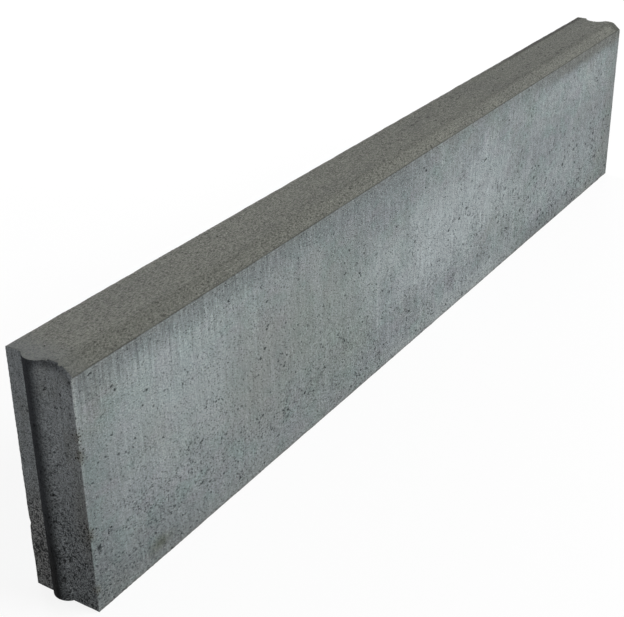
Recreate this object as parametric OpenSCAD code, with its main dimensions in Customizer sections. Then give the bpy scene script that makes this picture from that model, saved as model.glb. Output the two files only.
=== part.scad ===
// Concrete kerb stone that stands on its narrow bed, cast in one piece.
// Its front top edge is chamfered, and its ends interlock: a rounded tongue stands out of one end
// and runs its whole height, and a deeper rounded groove takes the next kerb's tongue at the other.
// +X runs along the kerb from the tongue to the groove, +Y points to the back and +Z points up.
// The origin lies on the bed, in the middle of the box that holds the kerb and its tongue.

/* [Slab] */
// Laying length, from one end face to the other, without the tongue
kerb_length = 1000; // [300:5:1200]
// Height from the bed to the top
kerb_height = 200; // [120:5:400]
// Thickness at the bed
bed_thickness = 60; // [50:1:120]
// How far each long face leans in between the bed and the top, so that the mould lifts off
face_taper = 1.5; // [0:0.1:4]

/* [Top edge] */
// Width of the chamfer, measured across the top
chamfer_width = 10; // [3:0.5:20]
// Height of the chamfer, measured down the front
chamfer_height = 8; // [3:0.5:20]

/* [Tongue and groove] */
// Distance of the joint's middle line from the foot of the back face
joint_setback = 26; // [20:0.5:32]
// Width of the tongue where it leaves the end face
tongue_width = 20; // [16:0.5:24]
// How far the tongue stands out of the end face
tongue_projection = 5; // [2:0.5:7]
// Room on each side of a tongue at the mouth of the groove
side_clearance = 2.5; // [0.5:0.25:4]
// Room between the crest of a tongue and the bottom of the groove
bottom_clearance = 5; // [0.5:0.25:7]

/* [Hidden] */
// Names of the solids that make up the kerb
// Which solid to draw, or all of them
// Sides of the curved faces
$fn = 96;
// How far a cut runs past the face that it opens
cut_overrun = 5;

overall_length = kerb_length + tongue_projection;
groove_end_x = overall_length / 2;
tongue_end_x = groove_end_x - kerb_length;
back_foot_y = bed_thickness / 2;
front_foot_y = -back_foot_y;
joint_y = back_foot_y - joint_setback;
groove_width = tongue_width + 2 * side_clearance;
groove_depth = tongue_projection + bottom_clearance;

// Radius of the arc that spans a width and rises by a given height in its middle
function arc_radius(width, rise) = (pow(width / 2, 2) + pow(rise, 2)) / (2 * rise);

// How far a long face has leaned in at a height above the bed
function lean_at(height) = face_taper * height / kerb_height;

// Cross-section with the long faces leaning in and the front top edge chamfered.
// Its first coordinate runs from front to back, and its second up from the bed.
module slab_section() {
    chamfer_foot = kerb_height - chamfer_height;
    polygon([
        [front_foot_y, 0],
        [back_foot_y, 0],
        [back_foot_y - lean_at(kerb_height), kerb_height],
        [front_foot_y + lean_at(kerb_height) + chamfer_width, kerb_height],
        [front_foot_y + lean_at(chamfer_foot), chamfer_foot]
    ]);
}

// The plain slab between the two end faces
module slab() {
    translate([tongue_end_x, 0, 0])
        rotate([90, 0, 90])
            linear_extrude(height = kerb_length)
                slab_section();
}

// Upright rounded rib on the end face, rooted in the slab by as much as it stands out
module tongue() {
    radius = arc_radius(tongue_width, tongue_projection);
    translate([tongue_end_x, joint_y, 0])
        intersection() {
            translate([radius - tongue_projection, 0, 0])
                cylinder(h = kerb_height, r = radius);
            translate([-tongue_projection, -tongue_width / 2, 0])
                cube([2 * tongue_projection, tongue_width, kerb_height]);
        }
}

// Upright rounded channel that opens in the other end face, the bed and the top
module groove_cut() {
    radius = arc_radius(groove_width, groove_depth);
    translate([groove_end_x + radius - groove_depth, joint_y, -cut_overrun])
        cylinder(h = kerb_height + 2 * cut_overrun, r = radius);
}

// The whole cast piece
module kerb_stone() {
    color([0.46, 0.47, 0.47])
        difference() {
            union() {
                slab();
                tongue();
            }
            groove_cut();
        }
}

kerb_stone();
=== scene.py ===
# %% [markdown]
# # A concrete kerb stone
#
# A kerb stone is one long block of stiff concrete. It is pressed in a steel mould, and the mould is
# pulled off upwards while the concrete is still fresh. That leaves the marks this lesson is about: a
# sandy top, long faces with upright drag streaks and small holes, and edges that crumble a little.
#
# The CAD model already holds the exact shape. It is loaded first, as a frame that never moves, and a
# finer mesh with the surface of real concrete is then built in its place.

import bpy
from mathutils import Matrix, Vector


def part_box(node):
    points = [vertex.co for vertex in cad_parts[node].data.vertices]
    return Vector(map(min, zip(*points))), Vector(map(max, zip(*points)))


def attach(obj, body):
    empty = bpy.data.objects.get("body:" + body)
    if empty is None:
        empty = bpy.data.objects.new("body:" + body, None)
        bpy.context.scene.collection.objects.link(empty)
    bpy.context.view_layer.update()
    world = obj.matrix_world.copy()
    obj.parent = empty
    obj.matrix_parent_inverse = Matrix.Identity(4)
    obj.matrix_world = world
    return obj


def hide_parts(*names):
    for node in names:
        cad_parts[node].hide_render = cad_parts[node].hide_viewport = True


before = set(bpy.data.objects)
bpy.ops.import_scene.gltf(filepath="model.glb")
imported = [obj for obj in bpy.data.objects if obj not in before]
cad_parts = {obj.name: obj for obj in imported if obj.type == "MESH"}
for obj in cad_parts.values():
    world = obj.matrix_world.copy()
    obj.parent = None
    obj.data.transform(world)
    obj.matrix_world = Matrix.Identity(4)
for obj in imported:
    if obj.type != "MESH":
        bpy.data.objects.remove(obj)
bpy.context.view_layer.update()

# %% [markdown]
# ## The sizes that everything else hangs on
#
# Blender counts in metres, and a kerb is thought of in millimetres, so one value turns the one into
# the other. The outer sizes come from the CAD node's box. The chamfer, the tongue and the groove
# repeat the sizes of the CAD source, because a box can't tell them.

# %% Read the outer sizes and name the rest
import math
import random

import bmesh
import bpy
from mathutils import Matrix, Vector, noise

mm = 0.001
box_low, box_high = [Vector(corner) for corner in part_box("kerb_stone")]
kerb_height = box_high.z - box_low.z
kerb_length = 1000 * mm
groove_end = box_high.x
tongue_end = groove_end - kerb_length
front_foot = box_low.y
back_foot = box_high.y
thickness = back_foot - front_foot

face_taper = 1.5 * mm
chamfer_width = 10 * mm
chamfer_height = 8 * mm
chamfer_foot = kerb_height - chamfer_height
joint_setback = 26 * mm
joint_line = back_foot - joint_setback
tongue_width = 20 * mm
tongue_projection = 5 * mm
groove_width = 25 * mm
groove_depth = 10 * mm
outer_sizes = (kerb_length, kerb_height, thickness)
print("kerb:", " x ".join(str(round(size / mm)) for size in outer_sizes), "mm")

# %% [markdown]
# ## Where the photographer stood
#
# The camera is set up first, so that every later step can be judged from the right place. A long lens
# stands near the tongue end, a little above the kerb, and looks along the front face. The aim is a
# point on that face, and a small roll levels the picture as it is in the photograph.

# %% Camera
photo_width = 624
focal_pixels = 1209.5
camera_place = Vector((-968.5, -516.9, 586.4)) * mm
camera_aim = Vector((-216.3, -30.0, 118.2)) * mm
camera_roll = math.radians(-0.63)

camera_data = bpy.data.cameras.new("photo camera")
camera_data.lens = focal_pixels * camera_data.sensor_width / photo_width
camera = bpy.data.objects.new("photo camera", camera_data)
bpy.context.scene.collection.objects.link(camera)
look = (camera_aim - camera_place).to_track_quat("-Z", "Y").to_matrix().to_4x4()
camera.matrix_world = Matrix.Translation(camera_place) @ look @ Matrix.Rotation(camera_roll, 4, "Z")
bpy.context.scene.camera = camera
print("lens", round(camera_data.lens, 1), "mm")

# %% [markdown]
# ## Start from the cross-section
#
# Every kerb of this kind has one section along its whole length: a flat bed, two long faces that lean
# in a little so that the mould lifts off, and a chamfer on the front top edge. Five corners draw it at
# each end, and five sides join the ends. An extrusion would do the same, but it may hand the sides over
# in another order on each run, and the pores are later drawn from faces in their order. Each side then
# gets the number of its finish, which later cuts hand on to the faces they make.

# %% Block
TOP, FACE, END, BED = range(4)
mostly = 0.9


def lean_at(height):
    """How far a long face has leaned in at a height above the bed."""
    return face_taper * height / kerb_height


arris = front_foot + lean_at(kerb_height) + chamfer_width
back_arris = back_foot - lean_at(kerb_height)
section = [
    (front_foot, 0.0),
    (back_foot, 0.0),
    (back_arris, kerb_height),
    (arris, kerb_height),
    (front_foot + lean_at(chamfer_foot), chamfer_foot),
]
bm = bmesh.new()
near_corners = [bm.verts.new((tongue_end, y, z)) for y, z in section]
far_corners = [bm.verts.new((groove_end, y, z)) for y, z in section]
bm.faces.new(near_corners)
bm.faces.new(far_corners)
for first in range(len(section)):
    second = (first + 1) % len(section)
    bm.faces.new((near_corners[first], near_corners[second], far_corners[second], far_corners[first]))
bmesh.ops.recalc_face_normals(bm, faces=bm.faces)
for face in bm.faces:
    if abs(face.normal.x) > mostly:
        face.material_index = END
    elif abs(face.normal.y) > mostly:
        face.material_index = FACE
    elif face.normal.z < 0:
        face.material_index = BED
    else:
        face.material_index = TOP
print("block:", len(bm.faces), "faces")

# %% [markdown]
# ## Tongue and groove
#
# A rounded rib stands out of the near end, and the far end has a wider rounded channel that takes the
# next kerb's rib. Both are arcs that run the whole height. The end face is cut into upright strips at
# the angles of the arc, and each new edge is then slid along the kerb onto the curve, towards the
# tongue's side at both ends. The flat part of the end stays where it is, and the mesh stays closed.

# %% Cut the ends into strips and slide them
touch = 0.001 * mm
tongue_half_strips = 6
groove_half_strips = 8


def cut(bm, faces, point, normal):
    """Slice only these faces with a plane, and keep both sides. Numbers fix the order of the pieces."""
    for group in (bm.verts, bm.edges):
        group.index_update()
    edges = {edge for face in faces for edge in face.edges}
    corners = {vert for edge in edges for vert in edge.verts}
    pieces = sorted(corners, key=lambda v: v.index) + sorted(edges, key=lambda e: e.index) + list(faces)
    bmesh.ops.bisect_plane(bm, geom=pieces, dist=touch, plane_co=point, plane_no=normal)


def end_faces(bm, end):
    """The faces of one end, which all have their middle close to its plane."""
    reach = 2 * groove_depth
    return [f for f in bm.faces if f.material_index == END and abs(f.calc_center_median().x - end) < reach]


def bend_end(bm, end, width, rise, half_strips):
    """Cut an arc's strips into one end and slide them along the kerb onto the arc."""
    radius = (width**2 / 4 + rise**2) / (2 * rise)
    half_angle = math.asin(width / 2 / radius)
    for step in range(-half_strips, half_strips + 1):
        offset = radius * math.sin(half_angle * step / half_strips)
        cut(bm, end_faces(bm, end), (end, joint_line + offset, 0), (0, 1, 0))
    for vert in bm.verts:
        offset = vert.co.y - joint_line
        if abs(vert.co.x - end) < touch and abs(offset) < width / 2 - touch:
            vert.co.x -= math.sqrt(radius**2 - offset**2) - (radius - rise)
    return radius


tongue_radius = bend_end(bm, tongue_end, tongue_width, tongue_projection, tongue_half_strips)
groove_radius = bend_end(bm, groove_end, groove_width, groove_depth, groove_half_strips)
print("tongue radius", round(tongue_radius / mm, 1), "mm, groove radius", round(groove_radius / mm, 1), "mm")

# %% [markdown]
# ## A grid fine enough for pits
#
# Relief needs points to move. Planes at an even pitch cut each side into small near-square faces: fine
# on the faces people see, coarse on the bed. Extra cuts run close along every edge, so that an edge
# can crumble without dragging the whole face with it.

# %% Cut the grid
pitch = 2.5 * mm
back_pitch = 5 * mm
bed_pitch = 10 * mm
edge_band = 0.8 * mm


def having(bm, *finishes):
    """All faces that carry one of these finishes."""
    return [face for face in bm.faces if face.material_index in finishes]


def steps(low, high, size):
    """Even steps between two ends, without the ends themselves."""
    count = round((high - low) / size)
    return [low + (high - low) * step / count for step in range(1, count)]


bm.normal_update()
side_planes = {}
for face in bm.faces:
    key = tuple(round(value, 3) for value in face.normal)
    if abs(face.normal.x) < touch:
        side_planes[key] = (face.calc_center_median().copy(), face.normal.copy())
for end, outward in ((tongue_end, -1), (groove_end, 1)):
    side_planes[end] = (Vector((end, 0, 0)), Vector((outward, 0, 0)))
for middle, normal in side_planes.values():
    cut(bm, bm.faces[:], middle - normal * edge_band, normal)

for x in steps(tongue_end, groove_end, pitch):
    cut(bm, having(bm, TOP, FACE, BED), (x, 0, 0), (1, 0, 0))
for z in steps(0, kerb_height, pitch):
    front = [f for f in having(bm, FACE) if f.normal.y < 0]
    cut(bm, front + having(bm, END), (0, 0, z), (0, 0, 1))
for z in steps(0, kerb_height, back_pitch):
    back = [f for f in having(bm, FACE) if f.normal.y > 0]
    cut(bm, back, (0, 0, z), (0, 0, 1))
# The first and the last step would fall beside the bands along the edges.
for y in steps(front_foot, back_foot, pitch)[1:-1]:
    cut(bm, having(bm, TOP), (0, y, 0), (0, 1, 0))
    if abs(y - joint_line) > groove_width / 2 + edge_band:
        cut(bm, having(bm, END), (0, y, 0), (0, 1, 0))
for y in steps(front_foot, back_foot, bed_pitch):
    cut(bm, having(bm, BED), (0, y, 0), (0, 1, 0))
bm.normal_update()
print("grid:", len(bm.verts), "points,", len(bm.faces), "faces")

# %% [markdown]
# ## Edges that crumbled
#
# Fresh concrete can't hold a knife edge. Sharp edges are found by the angle between their two faces,
# and their points move in by a third of a millimetre, more in some places and less in others. The foot
# of the chamfer is a special case: the press plate and the mould met there and left a fine groove. Two
# attributes keep what was done: no hole is opened later where a point was worn, and the materials
# paint shade into the groove.

# %% Wear the edges and press in the seam
sharp_angle = math.radians(20)
edge_loss = 0.3 * mm
edge_loss_change = 0.25 * mm
edge_loss_patch = 14 * mm
seam_depth = 0.9 * mm
seam_patch = 9 * mm
seam_least = 0.45

worn = bm.verts.layers.float.new("worn")
seam = bm.verts.layers.float.new("seam")


def patchy(place, size):
    """Smooth random value from 0 to 1 that changes over about this size."""
    return 0.5 + 0.5 * noise.noise(place / size)


edge_points = set()
seam_points = set()
for edge in bm.edges:
    if edge.calc_face_angle_signed(0) > sharp_angle:
        edge_points.update(edge.verts)
    height = sum(vert.co.z for vert in edge.verts) / 2
    if edge.calc_face_angle(0) > sharp_angle and abs(height - chamfer_foot) < touch:
        seam_points.update(edge.verts)
moves = {}
for vert in edge_points:
    if vert in seam_points:
        vert[seam] = seam_least + (1 - seam_least) * patchy(vert.co, seam_patch)
        loss = seam_depth * vert[seam]
    else:
        loss = edge_loss + edge_loss_change * (2 * patchy(vert.co, edge_loss_patch) - 1)
        vert[worn] = loss / edge_loss
    moves[vert] = vert.normal * -loss
for vert, move in moves.items():
    vert.co += move
print("worn edges:", len(edge_points), "points, seam:", len(seam_points), "points")

# %% [markdown]
# ## Soft upper edge of the chamfer
#
# The press plate leaves no crisp line between the top and the chamfer. A bevel would cut new faces there,
# but the grid is already fine enough: the points near the edge sink towards the inside, the edge itself
# the most, and less and less with the distance from it. Points just inside the ends go along.

# %% Soften the chamfer's upper edge
soft_reach = 6 * mm
soft_sag = 0.9 * mm

down_chamfer = Vector((0, -chamfer_width, -chamfer_height)).normalized()
inside = (Vector((0, 1, 0)) + down_chamfer).normalized()
softened = 0
for vert in bm.verts:
    distance = math.hypot(vert.co.y - arris, vert.co.z - kerb_height)
    if distance < soft_reach:
        vert.co += inside * soft_sag * (1 - distance / soft_reach) ** 2
        softened += 1
print("softened edge:", softened, "points")

# %% [markdown]
# ## Rounded end tops
#
# When the mould came off, the ends of the top and of the chamfer were rubbed round in front of the
# tongue and the groove. Points that lie outside a quarter circle there are pulled back onto it, and the
# faces that now lean outwards get the finish of the end.

# %% Round the end tops
tongue_round = 4.0 * mm
groove_round = 2.0 * mm
round_change = 0.2
round_patch = 12 * mm
leaning = 0.3
up = Vector((0, 0, 1))
chamfer_up = Vector((0, -chamfer_height, chamfer_width)).normalized()


def below_roof(point):
    """Distance of a point below the top or the chamfer, whichever is nearer, and the way up to it."""
    below_top = kerb_height - point.z
    below_chamfer = (Vector((point.x, arris, kerb_height)) - point).dot(chamfer_up)
    return (below_chamfer, chamfer_up) if below_chamfer < below_top else (below_top, up)


def round_end_top(bm, end, inward, joint_width, size):
    """Rub the end of the top and of the chamfer round in front of the joint."""
    moved = set()
    for vert in bm.verts:
        radius = size * (1 + round_change * (2 * patchy(vert.co, round_patch) - 1))
        across = radius - (vert.co.x - end) * inward
        below, upward = below_roof(vert.co)
        rise = radius - below
        before_joint = vert.co.y < joint_line - joint_width / 2
        stretch = math.hypot(across, rise)
        if before_joint and min(across, rise) > 0 and stretch > radius:
            vert.co.x += inward * across * (1 - radius / stretch)
            vert.co -= upward * rise * (1 - radius / stretch)
            moved.add(vert)
    for face in {face for vert in moved for face in vert.link_faces}:
        face.normal_update()
        if face.material_index == TOP and -face.normal.x * inward > leaning:
            face.material_index = END
    return len(moved)


rounded = round_end_top(bm, tongue_end, 1, tongue_width, tongue_round)
rounded += round_end_top(bm, groove_end, -1, groove_width, groove_round)
print("rounded end tops:", rounded, "points")

# %% [markdown]
# ## Small chips
#
# A few flakes broke off the upright edges and off the back edge of the bed. A flake could be cut with a
# boolean, but a shallow tilted cut, deepest in its middle, is easy to work out: the points that stand
# out past it are pushed back to it. The flakes at the near end lie where the photograph shows them, and
# the others are strewn from a fixed seed.

# %% Break off flakes
flakes = random.Random(3)
flake_rough = 0.25


def break_flake(bm, place, outward, along, half_length, depth):
    """Push back every point that stands out past a shallow curved cut across an edge."""
    outward = outward.normalized()
    for vert in bm.verts:
        offset = vert.co - place
        share = offset.dot(along) / half_length
        if abs(share) >= 1 or offset.length > 2 * half_length:
            continue
        rise = offset.dot(outward) + depth * (1 - share**2)
        if rise > 0:
            vert.co -= outward * rise * (1 - flake_rough * flakes.random())
            vert[worn] = 1.0


def upright_edge(end, side, height):
    """Point on one of the four upright edges. Side is -1 for the front and 1 for the back."""
    foot = front_foot if side < 0 else back_foot
    return Vector((end, foot - side * lean_at(height), height))


# Each flake has a side, a height, half its length and its depth, the last three in millimetres.
seen_flakes = [(-1, 148, 4, 1.4), (-1, 132, 5, 1.6), (-1, 68, 5, 1.4), (-1, 20, 3, 1.0), (1, 57, 3.5, 1.8)]
for side, height, half_length, depth in seen_flakes:
    spot = upright_edge(tongue_end, side, height * mm)
    break_flake(bm, spot, Vector((-1, side, 0)), up, half_length * mm, depth * mm)

groove_flakes = 6
groove_flake_height = (0.1 * kerb_height, 0.9 * kerb_height)
groove_flake_half = (3 * mm, 7 * mm)
groove_flake_depth = (0.8 * mm, 1.8 * mm)
for _ in range(groove_flakes):
    spot = upright_edge(groove_end, 1, flakes.uniform(*groove_flake_height))
    half_length = flakes.uniform(*groove_flake_half)
    depth = flakes.uniform(*groove_flake_depth)
    break_flake(bm, spot, Vector((1, 1, 0)), up, half_length, depth)

bed_flakes = 8
bed_flake_half = (3 * mm, 8 * mm)
bed_flake_depth = (0.6 * mm, 1.4 * mm)
for _ in range(bed_flakes):
    spot = Vector((flakes.uniform(tongue_end, groove_end), back_foot, 0))
    half_length = flakes.uniform(*bed_flake_half)
    depth = flakes.uniform(*bed_flake_depth)
    break_flake(bm, spot, Vector((0, 1, -1)), Vector((1, 0, 0)), half_length, depth)
print("flakes:", len(seen_flakes) + groove_flakes + bed_flakes)

# %% [markdown]
# ## Relief of each finish
#
# The top was pressed by a plate and is evenly sandy. The long faces and the ends slid along the steel,
# so their unevenness is stretched upright. Each point moves inwards along its normal by a little noise,
# and never outwards, so that the kerb keeps its outer size.

# %% Roughen the faces
# Each layer has a height and the size of its patches along X, Y and Z, all in millimetres.
relief = {
    TOP: [(0.10, (3.0, 3.0, 3.0)), (0.12, (14, 14, 14))],
    FACE: [(0.06, (3.5, 3.5, 60)), (0.22, (70, 70, 110))],
    END: [(0.10, (3.0, 3.0, 30)), (0.14, (6, 6, 9))],
    BED: [(0.15, (5, 5, 5)), (0.20, (30, 30, 30))],
}
bm.normal_update()
sunk = {}
for vert in bm.verts:
    depth = 0.0
    for height, patch in relief[vert.link_faces[0].material_index]:
        spot = Vector([value / (size * mm) for value, size in zip(vert.co, patch)])
        depth += height * mm * (1 + noise.noise(spot))
    sunk[vert] = vert.normal * depth
for vert, move in sunk.items():
    vert.co -= move
deepest = max(move.length for move in sunk.values())
print("roughened", len(sunk), "points, by up to", round(deepest / mm, 2), "mm")

# %% [markdown]
# ## Pores
#
# Air trapped against the steel leaves small open holes, most of them low on the face. Picked faces of
# the grid are inset, and the inner face is pushed in, which leaves a hole with sloped sides. The inner
# corners are shaken so that no hole is square. The random numbers start from a fixed seed, so each run
# gives the same kerb.

# %% Open the pores
shuffle = random.Random(7)
pore = bm.verts.layers.float.new("pore")
pore_kinds = {
    "pinhole": {"rim": 0.90 * mm, "depth": 0.5 * mm, "share": 0.75},
    "hole": {"rim": 0.62 * mm, "depth": 0.9 * mm, "share": 0.25},
}
pore_count = {TOP: 50, FACE: 620, END: 240, BED: 40}
pore_shake = 0.35 * mm
smallest_face = 1.5 * mm
low_pull = 0.96


def sinks_low(face):
    """Chance that a hole opens here: higher towards the bed."""
    return 1.0 - low_pull * face.calc_center_median().z / kerb_height


def roomy(face):
    """True for a whole face of the grid, away from the worn edges."""
    shortest = min(edge.calc_length() for edge in face.edges)
    untouched = not any(vert[worn] or vert[seam] for vert in face.verts)
    return len(face.verts) == 4 and shortest > smallest_face and untouched


open_faces = [face for face in bm.faces if roomy(face)]
made = {}
for finish, count in pore_count.items():
    choice = [face for face in open_faces if face.material_index == finish]
    for kind, hole in pore_kinds.items():
        weights = [sinks_low(face) for face in choice]
        drawn = shuffle.choices(choice, weights, k=round(count * hole["share"]))
        picked = list(dict.fromkeys(drawn))
        taken = set(picked)
        choice = [face for face in choice if face not in taken]
        hole_size = {"thickness": hole["rim"], "depth": -hole["depth"]}
        bmesh.ops.inset_individual(bm, faces=picked, use_even_offset=True, **hole_size)
        for face in picked:
            for vert in face.verts:
                vert[pore] = 1.0
                vert.co += Vector([shuffle.uniform(-pore_shake, pore_shake) for _ in range(3)])
        made[kind] = made.get(kind, 0) + len(picked)
print("pores:", made)

# %% [markdown]
# ## Room for the grain
#
# When the model leaves Blender, its pattern is drawn onto one square picture. The sides are laid out
# there as strips, one above the other, each as long as the picture is wide, so that the tall faces get
# the most room upwards, where their grain is finest. The two ends lie on their sides in one strip, with
# the arcs of tongue and groove rolled out. The bed, which nobody sees, gets half its height.

# %% Strips for the picture
strip_gap = 3 * mm
strip_margin = 0.004
bed_share = 0.5
strip_heights = {
    "bed": thickness * bed_share,
    "ends": thickness + 2 * groove_depth,
    "top": thickness,
    "back": kerb_height,
    "front": kerb_height,
}
strip_foot = {}
picture_height = strip_gap
for name, height in strip_heights.items():
    strip_foot[name] = picture_height
    picture_height += height + strip_gap


def across_end(point, middle):
    """Distance across an end, measured along the curve of its joint."""
    if middle.x < 0:
        end, width, most = tongue_end, tongue_width, tongue_projection
    else:
        end, width, most = groove_end, groove_width, groove_depth
    rise = abs(point.x - end) if abs(point.y - joint_line) < width / 2 else 0.0
    rolled = rise if middle.y < joint_line else 2 * most - rise
    return point.y - front_foot + rolled


def flat_place(finish, middle, point):
    """Strip of a face with this middle, and the place of one of its points along and across the strip."""
    along = (point.x - box_low.x) / (box_high.x - box_low.x)
    if finish == TOP:
        return "top", along, point.y - front_foot
    if finish == BED:
        return "bed", along, (point.y - front_foot) * bed_share
    if finish == FACE:
        return "front" if middle.y < 0 else "back", along, point.z
    lying = (1 - strip_margin) / 2 * point.z / kerb_height
    return "ends", lying if middle.x < 0 else 1 - lying, across_end(point, middle)


strips = bm.loops.layers.uv.new("OFBake")
for face in bm.faces:
    middle = face.calc_center_median()
    for loop in face.loops:
        name, along, across = flat_place(face.material_index, middle, loop.vert.co)
        u = strip_margin + (1 - 2 * strip_margin) * along
        loop[strips].uv = (u, (strip_foot[name] + across) / picture_height)
print("picture:", len(strip_heights), "strips,", round(picture_height / mm), "mm high")

# %% [markdown]
# ## Hand the mesh over
#
# The finished mesh becomes an object at the origin. It rides on the kerb's only body and stands in for
# the CAD node. Faces are shaded smooth, and edges that stayed sharp keep their crease.

# %% Kerb object
crease_angle = math.radians(38)
bm.normal_update()
kerb_mesh = bpy.data.meshes.new("dressed_kerb")
bm.to_mesh(kerb_mesh)
bm.free()
kerb_mesh.shade_smooth()
kerb_mesh.set_sharp_from_angle(angle=crease_angle)
kerb = bpy.data.objects.new("dressed_kerb", kerb_mesh)
bpy.context.scene.collection.objects.link(kerb)
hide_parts("kerb_stone")
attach(kerb, "root")
kerb_mesh.calc_loop_triangles()
print("kerb:", len(kerb_mesh.loop_triangles), "triangles")

# %% [markdown]
# ## Tools for the concrete
#
# Concrete is built up in layers of colour, from clouds as wide as a hand down to single grains of sand.
# A few helpers keep that readable. Colours are written as they are read off a screen and turned into
# the linear values that Blender works with. All patterns sit on Object coordinates, and all sizes are
# given in millimetres, so a pattern is as large as on the real kerb. Lengths count from the near end.

# %% Colours and places
def linear(part):
    """Linear value of one screen value from 0 to 1, by the usual screen curve."""
    return part / 12.92 if part <= 0.04045 else ((part + 0.055) / 1.055) ** 2.4


def screen_colour(red, green, blue):
    """Linear colour of a screen colour with parts from 0 to 255."""
    return [linear(part / 255) for part in (red, green, blue)] + [1.0]


near_end = tongue_end / mm
front_line = front_foot / mm
back_line = back_foot / mm
joint_middle = joint_line / mm
chamfer_edge = arris / mm
back_edge = back_arris / mm
top_level = kerb_height / mm
print("the near end lies at", round(near_end, 1), "mm, the joint at", round(joint_middle, 1), "mm")

# %% [markdown]
# One class holds a material while it grows. Its small methods each add a node or two: patterns come out
# as values from 0 to 1, and a layer of colour, shade or relief is then laid on with a strength.

# %% Layers of one material
dry_shine = 0.08
# A dot has at least this share of its radius, and its colour is full up to this share of its size.
dot_least = 0.5
dot_core = 0.6
# The roughness rises with a pattern between these two values of it.
dull_start = -1.5
dull_end = 1.2


class Finish:
    """One material under construction, with its colour and its height built up layer by layer.

    Flat names the two axes in which its side lies, as in "XZ".
    """

    def __init__(self, name, base, flat):
        self.material = bpy.data.materials.new(name)
        self.material.use_nodes = True
        self.tree = self.material.node_tree
        self.shader = self.tree.nodes["Principled BSDF"]
        self.place = self.node("ShaderNodeTexCoord").outputs["Object"]
        axes = self.node("ShaderNodeSeparateXYZ", {"Vector": self.place}).outputs
        axes = {axis: self.times(axes[axis], 1 / mm) for axis in "XYZ"}
        self.length, self.depth, self.level = axes.values()
        self.flat = [axes[axis] for axis in flat]
        self.colour = self.node("ShaderNodeRGB").outputs["Color"]
        self.colour.default_value = base
        self.height = None

    def node(self, kind, inputs=None, **options):
        """Add a node, set its options, and fill its inputs with values or with other nodes' outputs."""
        node = self.tree.nodes.new(kind)
        for name, value in options.items():
            setattr(node, name, value)
        for name, value in (inputs or {}).items():
            socket = next(s for s in node.inputs if name in (s.identifier, s.name))
            if isinstance(value, bpy.types.NodeSocket):
                self.tree.links.new(value, socket)
            else:
                socket.default_value = value
        return node

    def math(self, operation, first, second):
        """One sum, product or the like of two values."""
        inputs = {"Value": first, "Value_001": second}
        return self.node("ShaderNodeMath", inputs, operation=operation).outputs["Value"]

    def times(self, first, *others):
        """Product of values."""
        for other in others:
            first = self.math("MULTIPLY", first, other)
        return first

    def plus(self, first, *others):
        """Sum of values."""
        for other in others:
            first = self.math("ADD", first, other)
        return first

    def from_to(self, value, low, high):
        """Turn 0 into low and 1 into high, and what lies between in step."""
        return self.plus(self.times(value, high - low), low)

    def between(self, value, start, end):
        """0 at start, 1 at end, with a soft rise between them. Start may be the larger."""
        inputs = {"Value": value, "From Min": start, "From Max": end}
        return self.node("ShaderNodeMapRange", inputs, interpolation_type="SMOOTHSTEP").outputs["Result"]

    def by_length(self, start, end):
        """Rise from 0 to 1 along the kerb. Start and end count from the near end."""
        return self.between(self.length, near_end + start, near_end + end)

    def by_depth(self, start, end):
        """Rise from 0 to 1 from front to back."""
        return self.between(self.depth, start, end)

    def by_level(self, start, end):
        """Rise from 0 to 1 upwards from the bed."""
        return self.between(self.level, start, end)

    def cloud(self, size, seed, detail=3.0, rough=0.55):
        """Noise from 0 to 1 whose patches have this size along X, Y and Z."""
        scale = [1 / (step * mm) for step in size]
        inputs = {"Vector": self.place, "Scale": scale, "Location": (seed, seed, seed)}
        spot = self.node("ShaderNodeMapping", inputs).outputs["Vector"]
        inputs = {"Vector": spot, "Scale": 1.0, "Detail": detail, "Roughness": rough}
        return self.node("ShaderNodeTexNoise", inputs).outputs["Fac"]

    def swing(self, pattern):
        """A pattern moved to lie around 0, from -0.5 to 0.5."""
        return self.plus(pattern, -0.5)

    def blot(self, centre, reach):
        """1 at a place on the kerb, falling to 0 at this reach along X, Y and Z."""
        scale = [1 / (step * mm) for step in reach]
        shift = [-middle / step for middle, step in zip(centre, reach)]
        inputs = {"Vector": self.place, "Scale": scale, "Location": shift}
        spot = self.node("ShaderNodeMapping", inputs).outputs["Vector"]
        return self.node("ShaderNodeTexGradient", {"Vector": spot}, gradient_type="SPHERICAL").outputs["Fac"]

    def dots(self, spacing, radius, share, seed):
        """1 inside round spots on a flat side. They differ in size, and this share of them is there."""
        spot = [self.plus(self.times(part, 1 / step), seed) for part, step in zip(self.flat, spacing)]
        spot = self.node("ShaderNodeCombineXYZ", {"X": spot[0], "Y": spot[1]}).outputs["Vector"]
        cell = self.node("ShaderNodeTexVoronoi", {"Vector": spot, "Scale": 1.0}, voronoi_dimensions="2D")
        chance = self.node("ShaderNodeSeparateColor", {"Color": cell.outputs["Color"]}).outputs
        reach = self.times(self.plus(chance["Red"], dot_least), radius)
        inside = self.between(cell.outputs["Distance"], reach, self.times(reach, dot_core))
        return self.times(inside, self.math("LESS_THAN", chance["Green"], share))

    def mark(self, name):
        """An attribute that the mesh carries."""
        return self.node("ShaderNodeAttribute", attribute_name=name).outputs["Fac"]

    def paint(self, colour, where, strength=1.0):
        """Lay a colour over what is there, where a pattern is 1, with a strength from 0 to 1."""
        inputs = {"Factor_Float": self.times(where, strength), "A_Color": self.colour, "B_Color": colour}
        node = self.node("ShaderNodeMix", inputs, data_type="RGBA")
        self.colour = next(socket for socket in node.outputs if socket.identifier == "Result_Color")

    def cloud_over(self, colour, size, seed, start, end, strength=1.0):
        """Lay a colour over in clouds of this size, where their noise rises from start to end."""
        self.paint(colour, self.between(self.cloud(size, seed), start, end), strength)

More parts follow.
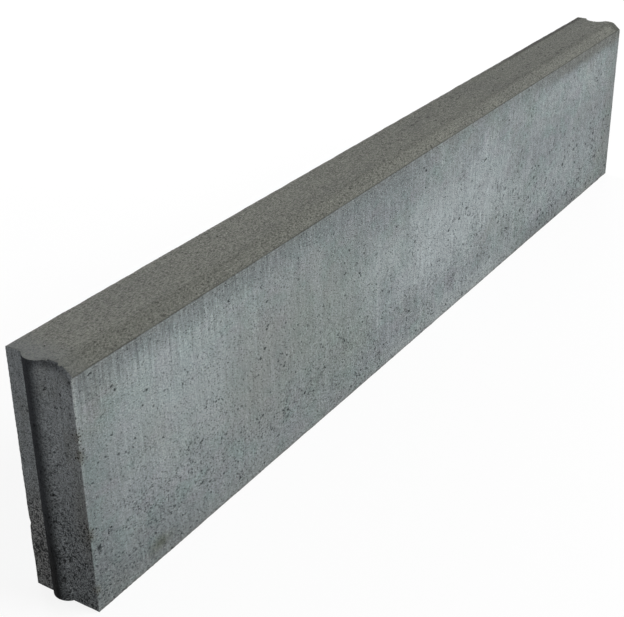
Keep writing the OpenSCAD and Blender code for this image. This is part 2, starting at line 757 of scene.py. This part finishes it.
    def shade(self, factor):
        """Make the colour lighter or darker by a factor."""
        inputs = {"Vector": self.colour, "Scale": factor}
        self.colour = self.node("ShaderNodeVectorMath", inputs, operation="SCALE").outputs["Vector"]

    def grain(self, pattern, strength):
        """Lighten and darken by a noise pattern around its middle."""
        self.shade(self.plus(self.times(self.swing(pattern), strength), 1))

    def raise_by(self, pattern, height):
        """Add a pattern to the fine relief, with its height in millimetres."""
        step = self.times(pattern, height * mm)
        self.height = step if self.height is None else self.plus(self.height, step)

    def done(self, dulled_by):
        """Join colour, relief and roughness to the shader. A pattern makes it more or less dull."""
        bump = self.node("ShaderNodeBump", {"Height": self.height, "Distance": 1.0})
        self.tree.links.new(bump.outputs["Normal"], self.shader.inputs["Normal"])
        self.tree.links.new(self.colour, self.shader.inputs["Base Color"])
        self.tree.links.new(self.between(dulled_by, dull_start, dull_end), self.shader.inputs["Roughness"])
        self.shader.inputs["Specular IOR Level"].default_value = dry_shine
        print(self.material.name, "has", len(self.tree.nodes), "nodes")
        return self.material


print("layers:", [name for name in vars(Finish) if not name.startswith("_")])

# %% [markdown]
# ## The long faces
#
# Both long faces are a cool grey that is nowhere even. Wide clouds of a bluer, a greener and a warmer
# grey lie over each other, and small ones of teal and mauve over those. Noise makes them, since it has
# no seams and no repeat along a metre of concrete.

# %% Long face: clouds
cool_grey = screen_colour(142, 149, 150)
blue_grey = screen_colour(140, 146, 149)
green_grey = screen_colour(136, 145, 143)
warm_grey = screen_colour(142, 145, 142)
teal_grey = screen_colour(131, 149, 146)
mauve_grey = screen_colour(147, 147, 152)

face = Finish("long face concrete", cool_grey, flat="XZ")
face.cloud_over(blue_grey, size=(110, 60, 80), seed=3, start=0.42, end=0.62)
face.cloud_over(green_grey, size=(80, 60, 60), seed=11, start=0.48, end=0.66)
face.cloud_over(warm_grey, size=(70, 60, 60), seed=17, start=0.52, end=0.70, strength=0.5)
face.cloud_over(teal_grey, size=(34, 34, 20), seed=43, start=0.46, end=0.62, strength=0.45)
face.cloud_over(mauve_grey, size=(28, 28, 17), seed=53, start=0.50, end=0.66, strength=0.45)
print("clouds:", len(face.tree.nodes), "nodes so far")

# %% [markdown]
# On the front a pale haze of lime shows in the middle, partly real lime and partly painted light. The
# near foot and a few other places are darker, and a small olive stain lies at the near foot. A painted
# mask could place them, but soft blots at named places are easier to change, and noise breaks up their
# rims.

# %% Long face: haze and darker patches
sage_grey = screen_colour(137, 146, 140)
dirt_olive = screen_colour(92, 96, 86)
lime_haze_and_light = screen_colour(170, 178, 180)
dark_patch_grey = screen_colour(104, 110, 112)
blotch_depth = 40
fleece = face.swing(face.cloud(size=(45, 45, 40), seed=29, detail=5.0, rough=0.65))


def blotch(colour, strength, centre, reach):
    """Lay a colour over a soft ragged place on the front. The centre is counted from the near foot."""
    along, height = centre
    place = face.blot((near_end + along, front_line, height), (reach[0], blotch_depth, reach[1]))
    face.paint(colour, face.between(face.plus(place, fleece), start=0.1, end=0.9), strength)


blotch(warm_grey, strength=0.60, centre=(210, 95), reach=(130, 110))
blotch(blue_grey, strength=0.60, centre=(920, 80), reach=(80, 80))
blotch(sage_grey, strength=0.60, centre=(320, 85), reach=(140, 115))
# Pale haze: partly real lime, partly painted light on the middle and far part of the front.
blotch(lime_haze_and_light, strength=0.90, centre=(540, 93), reach=(270, 86))
blotch(lime_haze_and_light, strength=0.52, centre=(625, 130), reach=(80, 58))
blotch(lime_haze_and_light, strength=0.27, centre=(850, 155), reach=(280, 50))
blotch(lime_haze_and_light, strength=0.90, centre=(565, 0), reach=(235, 42))
blotch(lime_haze_and_light, strength=0.40, centre=(790, 55), reach=(240, 80))
blotch(lime_haze_and_light, strength=0.50, centre=(115, 135), reach=(140, 120))
# Darker patches, at the near foot and in a few other places.
blotch(dark_patch_grey, strength=0.65, centre=(0, 0), reach=(215, 85))
blotch(dark_patch_grey, strength=0.32, centre=(0, 100), reach=(60, 80))
blotch(dark_patch_grey, strength=0.38, centre=(770, 5), reach=(120, 30))
blotch(dark_patch_grey, strength=0.25, centre=(390, 172), reach=(190, 45))
blotch(dirt_olive, strength=0.85, centre=(70, 15), reach=(24, 12))
print("haze and damp:", len(face.tree.nodes), "nodes so far")

# %% [markdown]
# Under the seam the mould dragged the wet paste upwards. That left a darker band with fine upright
# streaks, brownest at the far end and nearly lost where the face is cleanest. Noise stretched upright
# shifts the height at which the band begins, and that frays its lower edge. Longer streaks, pale and
# dark, hang over the whole face like a veil and are strongest in the haze.

# %% Long face: drag band and veil
drag_grey = screen_colour(116, 122, 123)
veil_pale = screen_colour(162, 168, 170)
seam_brown = screen_colour(113, 114, 109)
streak_shift = 50
brown_shift = 14
dark_veil = 0.5

on_front = face.by_depth(start=10, end=-10)
streak = face.cloud(size=(3.0, 3.0, 24), seed=5, detail=4.0, rough=0.65)
dragged = face.plus(face.level, face.times(face.swing(streak), streak_shift))
clean_part = face.blot(centre=(near_end + 600, front_line, top_level), reach=(180, 60, 110))
drag_strength = face.from_to(clean_part, low=0.75, high=0.15)
face.paint(drag_grey, face.between(dragged, start=166, end=188), drag_strength)
browned = face.plus(face.level, face.times(fleece, brown_shift))
browned = face.between(browned, start=174, end=184)
far_front = face.times(face.by_length(start=680, end=880), on_front)
face.paint(seam_brown, face.times(browned, far_front), strength=0.75)
face.paint(seam_brown, face.by_level(start=184, end=190), strength=0.22)
veil = face.cloud(size=(9, 9, 80), seed=67, detail=4.0, rough=0.7)
hazy = face.blot(centre=(near_end + 560, front_line, 90), reach=(300, 60, 130))
veil_strength = face.from_to(face.between(hazy, start=0.0, end=0.6), low=0.22, high=0.72)
face.paint(veil_pale, face.between(veil, start=0.50, end=0.68), veil_strength)
face.paint(drag_grey, face.between(veil, start=0.46, end=0.30), face.times(veil_strength, dark_veil))
print("drag band and veil:", len(face.tree.nodes), "nodes so far")

# %% [markdown]
# A warmer band runs along the foot. The near upright edge has a pale rim, the far one a dull brown one,
# and brown stains with dark scabs lie where flakes broke off. The stains take their places from the
# list of flakes, so that each lies on its chip. The ends will use the same function.

# %% Long face: rims and stains
foot_warm = screen_colour(132, 135, 131)
foot_brown = screen_colour(130, 124, 119)
pale_rim = screen_colour(158, 163, 162)
stain_brown = screen_colour(86, 82, 68)
stain_pit = screen_colour(44, 41, 34)
stain_reach = 9
stain_stretch = 2.5
stain_fray = 1.5
far_rim_shift = 50


def stain_flakes(finish, fray, scab, rim, pitted, strength):
    """Stain the chips of the near end. Rim and pitted are the starts and ends of the stain and its scabs."""
    for side, height, half_length, _ in seen_flakes:
        reach = (stain_reach, stain_reach, stain_stretch * half_length)
        stain = finish.blot((near_end, side * back_line, height), reach)
        finish.paint(stain_brown, finish.between(finish.plus(stain, fray), *rim), strength)
        finish.paint(stain_pit, finish.times(scab, finish.between(stain, *pitted)))


face.paint(foot_warm, face.by_level(start=24, end=2), strength=0.30)
face.paint(foot_brown, face.by_level(start=4, end=1), strength=0.35)
near_rim = face.times(face.by_length(start=4, end=1), face.by_level(start=60, end=150))
face.paint(pale_rim, near_rim, strength=0.45)
far_rim = face.plus(face.length, face.times(fleece, far_rim_shift))
far_rim = face.between(far_rim, start=near_end + 955, end=near_end + 985)
face.paint(seam_brown, face.times(far_rim, on_front), strength=0.32)
scab = face.dots(spacing=(3.4, 2.2), radius=0.3, share=0.6, seed=31)
fray = face.times(fleece, stain_fray)
stain_flakes(face, fray, scab, rim=(0.35, 0.9), pitted=(0.1, 0.5), strength=0.45)
print("rims and stains:", len(face.tree.nodes), "nodes so far")

# %% [markdown]
# The finer layers lighten and darken what is there. Comb marks, left by the sliding mould, show near
# the seam at the near end. Sand and grit are noise in two sizes. They grow stronger along the kerb,
# because the near part was rubbed smoother.

# %% Long face: comb marks, sand and grit
comb_crest = 0.10
middle_grit = 0.45

comb = face.swing(face.cloud(size=(3.2, 3.2, 60), seed=15, rough=0.7))
comb = face.math("MINIMUM", comb, comb_crest)
combed = face.times(face.by_level(start=148, end=186), face.by_length(start=420, end=60))
comb_strength = face.from_to(combed, low=0.4, high=2.1)
face.shade(face.plus(face.times(comb, comb_strength), 1))
face.grain(streak, strength=0.35)
sand = face.cloud(size=(5.0, 5.0, 7.5), seed=1, detail=4.0, rough=0.75)
grit = face.cloud(size=(1.7, 1.7, 0.9), seed=13, detail=2.0, rough=0.8)
along = face.by_length(start=0, end=900)
middle_part = face.times(face.between(along, start=0.12, end=0.35), face.between(along, start=0.65, end=0.42))
face.grain(sand, strength=face.from_to(along, low=0.3, high=1.25))
grit_strength = face.plus(face.from_to(along, low=1.85, high=2.05), face.times(middle_part, middle_grit))
face.grain(grit, grit_strength)
print("sand and grit:", len(face.tree.nodes), "nodes so far")

# %% [markdown]
# Some holes are noise cut off below a level, so no two have the same outline, and they crowd in some
# places and towards the foot. Others are round: pinholes all over, and larger pits low on the far half.
# A patch near the near end is calmer. The dark of the holes is painted shade, and so is that of the
# pores of the mesh. Light grains lie between the holes. The same patterns drive the bump and the
# roughness.

# %% Long face: holes
hole_shade_grey = screen_colour(50, 55, 56)
speck_grey = screen_colour(192, 196, 195)
seam_shade_dark = screen_colour(64, 62, 58)
crowd_pull = -0.25
foot_pull = -0.04

crowd = face.cloud(size=(30, 30, 30), seed=41, detail=2.0)
low = face.by_level(start=200, end=20)
crowding = face.plus(face.times(crowd, crowd_pull), face.times(low, foot_pull))
pinholes = face.plus(face.cloud(size=(1.9, 1.9, 1.25), seed=7, detail=2.0), crowding)
pinholes = face.between(pinholes, start=0.225, end=0.135)
holes = face.plus(face.cloud(size=(6, 6, 5), seed=19), crowding)
holes = face.between(holes, start=0.18, end=0.13)
pins = face.dots(spacing=(3.8, 2.1), radius=0.19, share=0.5, seed=23)
grains = face.dots(spacing=(3.4, 1.9), radius=0.20, share=0.45, seed=47)
pits = face.dots(spacing=(11, 9), radius=0.2, share=0.6, seed=61)
pit_part = face.from_to(face.by_level(start=130, end=70), low=0.4, high=1.0)
pit_groups = face.between(crowd, start=0.38, end=0.56)
pits = face.times(pits, face.by_length(start=300, end=800), pit_part, pit_groups)
specks = face.between(face.cloud(size=(3.0, 3.0, 1.8), seed=37, detail=2.0), start=0.72, end=0.80)
calm = face.times(face.by_length(start=140, end=80), face.by_level(start=70, end=95))
open_part = face.from_to(calm, low=1, high=0.62)

face.paint(speck_grey, grains, strength=face.from_to(middle_part, low=0.38, high=0.54))
# Painted shade: the pins, pits, pinholes and holes are painted dark.
face.paint(hole_shade_grey, face.times(pins, open_part), strength=0.80)
face.paint(hole_shade_grey, pits, strength=0.75)
face.paint(hole_shade_grey, face.times(pinholes, open_part), strength=0.85)
face.paint(hole_shade_grey, holes, strength=0.9)
face.paint(speck_grey, specks, strength=0.5)
# Painted shade in the pores of the mesh.
face.paint(hole_shade_grey, face.mark("pore"), strength=0.6)
# Painted shade in the seam groove.
face.paint(seam_shade_dark, face.mark("seam"))
face.raise_by(sand, height=1.0)
face.raise_by(grit, height=0.5)
face.raise_by(streak, height=0.5)
face.raise_by(pins, height=-0.3)
face.raise_by(pits, height=-0.3)
face.raise_by(pinholes, height=-0.4)
face.raise_by(holes, height=-0.7)
face_concrete = face.done(dulled_by=sand)

# %% [markdown]
# ## The pressed top
#
# A plate pressed the top and the chamfer, so they are warmer and more even than the long faces: sand in
# two sizes over one dull cloud. Painted shade makes the top a little darker towards the far end, and
# painted light makes the chamfer lighter there; one factor along the kerb does each.

# %% Top: colour and sand
sandy_grey = screen_colour(106, 107, 101)
dull_sand = screen_colour(101, 102, 97)

top = Finish("top concrete", sandy_grey, flat="XY")
top.cloud_over(dull_sand, size=(120, 40, 40), seed=3, start=0.45, end=0.65)
along = top.by_length(start=0, end=1000)
on_chamfer = top.by_depth(start=chamfer_edge + 4, end=chamfer_edge - 2)
# Painted shade: the top gets darker towards the far end.
top.shade(top.from_to(along, low=1.10, high=0.79))
# Painted light on the chamfer: a little darker at the near end, lighter towards the far end, with a soft edge
# onto the top.
chamfer_painted_light = top.from_to(along, low=-0.13, high=0.53)
top.shade(top.plus(top.times(on_chamfer, chamfer_painted_light), 1))
sand = top.cloud(size=(6.0, 4.0, 4.0), seed=1, detail=4.0, rough=0.8)
grit = top.cloud(size=(2.0, 1.1, 1.1), seed=13, detail=2.0, rough=0.8)
top.grain(sand, strength=0.6)
top.grain(grit, strength=top.from_to(top.by_length(start=60, end=300), low=2.7, high=3.4))
print("top:", len(top.tree.nodes), "nodes so far")

# %% [markdown]
# Small dark pits and light specks lie all over, with larger dark spots in groups on the far half. Their
# dark is painted shade, as in the pores of the mesh. Close to the tongue the top is smeared with grey
# paste, less so on the chamfer. At the far end the arrises are darker, and sand frays that dark band.

# %% Top: pits, smear and dark edges
pit_shade_and_dark_edge = screen_colour(46, 46, 43)
pale_grain = screen_colour(158, 157, 148)
smear_grey = screen_colour(101, 105, 107)
back_edge_fray = 6

pits = top.between(top.cloud(size=(3.6, 2.6, 2.6), seed=7, detail=2.0), start=0.27, end=0.18)
pins = top.dots(spacing=(5.0, 3.0), radius=0.22, share=0.4, seed=23)
specks = top.between(top.cloud(size=(3.0, 2.0, 2.0), seed=37, detail=2.0), start=0.68, end=0.77)
spots = top.dots(spacing=(14, 7), radius=0.19, share=0.6, seed=71)
spot_groups = top.between(top.cloud(size=(60, 60, 60), seed=73, detail=2.0), start=0.42, end=0.54)
flat_part = top.from_to(on_chamfer, low=1, high=0.3)
spots = top.times(spots, top.by_length(start=300, end=550), spot_groups, flat_part)
# Painted shade: the spots, pinholes and pits are painted dark.
top.paint(pit_shade_and_dark_edge, spots, strength=0.6)
top.paint(pit_shade_and_dark_edge, pins, strength=0.5)
top.paint(pit_shade_and_dark_edge, pits, strength=0.8)
top.paint(pale_grain, specks, strength=0.7)
behind_chamfer = top.by_depth(start=chamfer_edge, end=chamfer_edge + 10)
smear_strength = top.from_to(behind_chamfer, low=0.25, high=0.5)
top.paint(smear_grey, top.by_length(start=28, end=2), smear_strength)
# A darker band along the back edge at the far end, and at the far corner of the chamfer.
frayed = top.plus(top.depth, top.times(top.swing(sand), back_edge_fray))
dark_back_edge = top.between(frayed, start=back_edge - 7.5, end=back_edge - 4.5)
top.paint(pit_shade_and_dark_edge, top.times(dark_back_edge, top.by_length(start=640, end=880)), strength=0.75)
dark_far_corner = top.by_depth(start=chamfer_edge + 3, end=chamfer_edge - 2)
top.paint(pit_shade_and_dark_edge, top.times(dark_far_corner, top.by_length(start=982, end=990)), strength=0.5)
# Painted shade in the pores of the mesh.
top.paint(pit_shade_and_dark_edge, top.mark("pore"), strength=0.5)
# Painted shade in the seam groove.
top.paint(seam_shade_dark, top.mark("seam"))
top.raise_by(sand, height=1.6)
top.raise_by(grit, height=0.8)
top.raise_by(pits, height=-0.5)
top_concrete = top.done(dulled_by=sand)

# %% [markdown]
# ## The ends
#
# The ends slid along the division plates of the mould. They are darker than the long faces, and the
# chips on their edges have the same stains. Painted shade darkens the back half of the tongue, which
# turns away from the light, and more painted shade darkens its foot.

# %% End: colour, stains and the painted shade of the tongue
end_grey = screen_colour(126, 130, 132)
end_brown = screen_colour(120, 123, 123)
dark_and_shade_grey = screen_colour(41, 43, 46)
foot_shade_dark = screen_colour(12, 13, 14)

end = Finish("end concrete", end_grey, flat="YZ")
end.cloud_over(end_brown, size=(25, 25, 40), seed=3, start=0.48, end=0.7)
fray = end.swing(end.cloud(size=(9, 9, 9), seed=29))
scab = end.dots(spacing=(2.2, 2.2), radius=0.3, share=0.6, seed=31)
stain_flakes(end, fray, scab, rim=(0.3, 0.8), pitted=(0.05, 0.4), strength=0.4)
on_tongue = end.by_length(start=-0.2, end=-1.2)
# Painted shade: the back half of the tongue is painted dark.
tongue_shade = end.times(on_tongue, end.by_depth(start=joint_middle - 10.5, end=joint_middle + 1.5))
end.paint(dark_and_shade_grey, tongue_shade)
# Painted shade: the foot of the tongue's back half is painted darker still.
foot_shade_side = end.by_depth(start=joint_middle - 5, end=joint_middle + 1)
foot_shade = end.times(on_tongue, foot_shade_side, end.by_level(start=85, end=20))
end.paint(foot_shade_dark, foot_shade)
print("end:", len(end.tree.nodes), "nodes so far")

# %% [markdown]
# The strip behind the tongue is warmer and lighter near its foot. The front edge is brown, and the
# front top corner of the end is darker. A painted shadow darkens a band under the top edge in front of
# the back strip. Over all that, painted shade makes the end darker towards the foot.

# %% End: edges and foot
end_warm = screen_colour(129, 127, 125)
edge_brown = screen_colour(88, 84, 74)

back_strip = end.by_depth(start=joint_middle + 8, end=joint_middle + 12)
back_low = end.times(back_strip, end.by_level(start=110, end=50))
end.paint(end_warm, back_low, strength=0.6)
end.shade(end.from_to(back_low, low=1, high=1.16))
front_edge = end.blot(centre=(near_end, front_line, 80), reach=(19, 19, 55))
end.paint(edge_brown, end.between(front_edge, start=0.0, end=0.7), strength=0.35)
top_corner = end.blot(centre=(near_end, front_line, top_level), reach=(40, 16, 26))
end.paint(dark_and_shade_grey, end.between(top_corner, start=0.0, end=0.8), strength=0.5)
# Painted shadow: a dark band under the top edge, in front of the back strip.
before_strip = end.by_depth(start=joint_middle + 14, end=joint_middle + 8)
end.paint(dark_and_shade_grey, end.times(end.by_level(start=190, end=199), before_strip), strength=0.75)
# Painted shade: the whole end gets darker towards the foot.
end.shade(end.from_to(end.by_level(start=5, end=165), low=0.71, high=1.15))
print("end:", len(end.tree.nodes), "nodes so far")

# %% [markdown]
# The grain of the ends is coarser: short upright scrapes, sand and grit, all rougher towards the foot,
# with more holes than on the long faces. No hole shows in the painted shade at the tongue's foot, and
# no light speck in the painted shade of its back half.

# %% End: grain and holes
end_hole_shade = screen_colour(36, 38, 38)
end_speck = screen_colour(180, 182, 182)
rough_least = 0.54
rough_middle = 0.22
rough_foot = 0.38
rough_back = 0.12
sand_speckle = 1.2
grit_speckle = 5.6
crowd_pull = -0.36
foot_pull = -0.07
back_pull = -0.05

scrape = end.cloud(size=(2.6, 2.6, 16), seed=1, detail=4.0, rough=0.75)
sand = end.cloud(size=(3.6, 3.6, 3.8), seed=9, detail=4.0, rough=0.8)
grit = end.cloud(size=(1.1, 1.1, 1.1), seed=13, detail=2.0, rough=0.8)
end.grain(scrape, strength=1.1)
rougher = end.times(end.by_level(start=190, end=110), rough_middle)
rougher = end.plus(rougher, end.times(end.by_level(start=95, end=40), rough_foot), rough_least)
rougher = end.plus(rougher, end.times(back_low, rough_back))
speckle = end.plus(end.times(end.swing(sand), sand_speckle), end.times(end.swing(grit), grit_speckle))
end.shade(end.plus(end.times(speckle, rougher), 1))
crowd = end.times(end.cloud(size=(14, 14, 16), seed=41), crowd_pull)
crowd = end.plus(crowd, end.times(end.by_level(start=130, end=30), foot_pull), end.times(back_low, back_pull))
holes = end.plus(end.cloud(size=(2.0, 2.0, 2.3), seed=7), crowd)
holes = end.between(holes, start=0.175, end=0.09)
pins = end.dots(spacing=(2.6, 2.6), radius=0.25, share=0.5, seed=23)
specks = end.dots(spacing=(2.4, 2.4), radius=0.23, share=0.4, seed=47)
outside_foot_shade = end.from_to(foot_shade, low=1, high=0)
outside_tongue_shade = end.from_to(tongue_shade, low=1, high=0)

# Painted shade: the pins, holes and pores of the end are painted dark.
end.paint(end_hole_shade, end.times(pins, outside_foot_shade, rougher), strength=0.65)
end.paint(end_hole_shade, end.times(holes, outside_foot_shade), strength=0.9)
end.paint(end_speck, end.times(specks, outside_tongue_shade, rougher), strength=0.3)
end.paint(end_hole_shade, end.mark("pore"), strength=0.6)
end.raise_by(scrape, height=0.7)
end.raise_by(sand, height=1.4)
end.raise_by(grit, height=0.9)
end.raise_by(pins, height=-0.4)
end.raise_by(holes, height=-0.7)
end_concrete = end.done(dulled_by=sand)

# %% [markdown]
# ## The bed
#
# The kerb was cast on a board, so its underside is rough and open. It seldom shows, and two sizes of
# noise with some hollows are enough. The four finishes then go onto the mesh in the order of their
# numbers.

# %% Bed concrete
bed_grey = screen_colour(122, 124, 122)
bed_hole = screen_colour(64, 65, 63)

bed = Finish("bed concrete", bed_grey, flat="XY")
crumb = bed.cloud(size=(9, 9, 9), seed=1, detail=5.0, rough=0.75)
grit = bed.cloud(size=(1.8, 1.8, 1.8), seed=13, detail=2.0, rough=0.8)
hollows = bed.between(bed.cloud(size=(6, 6, 6), seed=5), start=0.34, end=0.26)
bed.grain(crumb, strength=1.4)
bed.grain(grit, strength=2.0)
bed.paint(bed_hole, hollows, strength=0.8)
bed.raise_by(crumb, height=2.0)
bed.raise_by(hollows, height=-0.8)
bed_concrete = bed.done(dulled_by=crumb)
for finish in (top_concrete, face_concrete, end_concrete, bed_concrete):
    kerb_mesh.materials.append(finish)
print("finishes:", [material.name for material in kerb_mesh.materials])

# %% [markdown]
# ## Floor
#
# The photograph has a white ground. The floor is a plain plane. A Light Path node shows it white to
# the camera, while it throws back only as much light as a grey floor would, and it keeps the shadow.
# Far from the kerb it glows fully, so that it runs into the white behind it without an edge.

# %% Floor
floor_size = 12.0
floor_seen = 0.95
floor_grey = 0.30
floor_glow = 0.86
shadow_reach = (0.8, 2.2)
floor_bm = bmesh.new()
bmesh.ops.create_grid(floor_bm, x_segments=1, y_segments=1, size=floor_size)
floor_mesh = bpy.data.meshes.new("floor")
floor_bm.to_mesh(floor_mesh)
floor_bm.free()
floor = bpy.data.objects.new("floor", floor_mesh)
bpy.context.scene.collection.objects.link(floor)


def seen_rays(tree):
    """1 for a ray from the camera, a mirror or a clear body, 0 for light on its way to a surface."""
    path = tree.nodes.new("ShaderNodeLightPath")
    total = path.outputs["Is Camera Ray"]
    for name in ("Is Glossy Ray", "Is Transmission Ray"):
        either = tree.nodes.new("ShaderNodeMath")
        either.operation = "MAXIMUM"
        tree.links.new(total, either.inputs[0])
        tree.links.new(path.outputs[name], either.inputs[1])
        total = either.outputs["Value"]
    return total


floor_paint = bpy.data.materials.new("white floor")
floor_paint.use_nodes = True
tree = floor_paint.node_tree
paint = tree.nodes["Principled BSDF"]
place = tree.nodes.new("ShaderNodeTexCoord")
distance = tree.nodes.new("ShaderNodeVectorMath")
distance.operation = "LENGTH"
tree.links.new(place.outputs["Object"], distance.inputs[0])
tone = tree.nodes.new("ShaderNodeMapRange")
tone.inputs["To Min"].default_value = floor_grey
glow = tree.nodes.new("ShaderNodeMapRange")
white_rays = seen_rays(tree)
seen_values = {tone: (floor_seen * (1 - floor_glow), 0), glow: (floor_glow, 1)}
for node, (near_value, far_value) in seen_values.items():
    fade = tree.nodes.new("ShaderNodeMapRange")
    settings = {"From Min": shadow_reach[0], "From Max": shadow_reach[1]}
    settings.update({"To Min": near_value, "To Max": far_value})
    for name, value in settings.items():
        fade.inputs[name].default_value = value
    tree.links.new(distance.outputs["Value"], fade.inputs["Value"])
    tree.links.new(fade.outputs["Result"], node.inputs["To Max"])
    tree.links.new(white_rays, node.inputs["Value"])
paint.inputs["Emission Color"].default_value = (1, 1, 1, 1)
paint.inputs["Specular IOR Level"].default_value = 0
tree.links.new(tone.outputs["Result"], paint.inputs["Base Color"])
tree.links.new(glow.outputs["Result"], paint.inputs["Emission Strength"])
floor_mesh.materials.append(floor_paint)
print("floor", 2 * floor_size, "m square")

# %% [markdown]
# ## Light
#
# One large soft lamp stands in front, on the right, and lights the front and the top. The near end
# turns away from it and gets only a weak lamp on the left. Two more keep the back and the far end from
# going black.

# %% Lamps and sky
sky_light = 0.2
world = bpy.data.worlds.new("studio")
bpy.context.scene.world = world
world.use_nodes = True
tree = world.node_tree
sky = tree.nodes["Background"]
sky.inputs["Color"].default_value = (1, 1, 1, 1)
level = tree.nodes.new("ShaderNodeMapRange")
level.inputs["To Min"].default_value = sky_light
tree.links.new(seen_rays(tree), level.inputs["Value"])
tree.links.new(level.outputs["Result"], sky.inputs["Strength"])


def soft_lamp(name, place, aim, size, power):
    """A square lamp at a place, turned towards a point."""
    lamp = bpy.data.lights.new(name, "AREA")
    lamp.size = size
    lamp.energy = power
    stand = bpy.data.objects.new(name, lamp)
    bpy.context.scene.collection.objects.link(stand)
    stand.location = place
    stand.rotation_euler = (Vector(aim) - Vector(place)).to_track_quat("-Z", "Y").to_euler()
    stand.visible_camera = False


half_up = kerb_height / 2
soft_lamp("key lamp", place=(0.5, -1.7, 1.75), aim=(0, 0, half_up), size=1.4, power=55)
soft_lamp("end lamp", place=(-2.2, -0.9, 0.9), aim=(tongue_end, 0, half_up), size=0.8, power=13)
soft_lamp("back lamp", place=(0.9, 2.1, 0.5), aim=(0, 0, half_up), size=0.8, power=50)
soft_lamp("groove lamp", place=(2.2, 0.7, 0.4), aim=(groove_end, 0, half_up), size=0.6, power=13)
bpy.context.scene.view_settings.view_transform = "Standard"

# %% [markdown]
# ## The size
#
# The dressed kerb has to stay inside the CAD box.
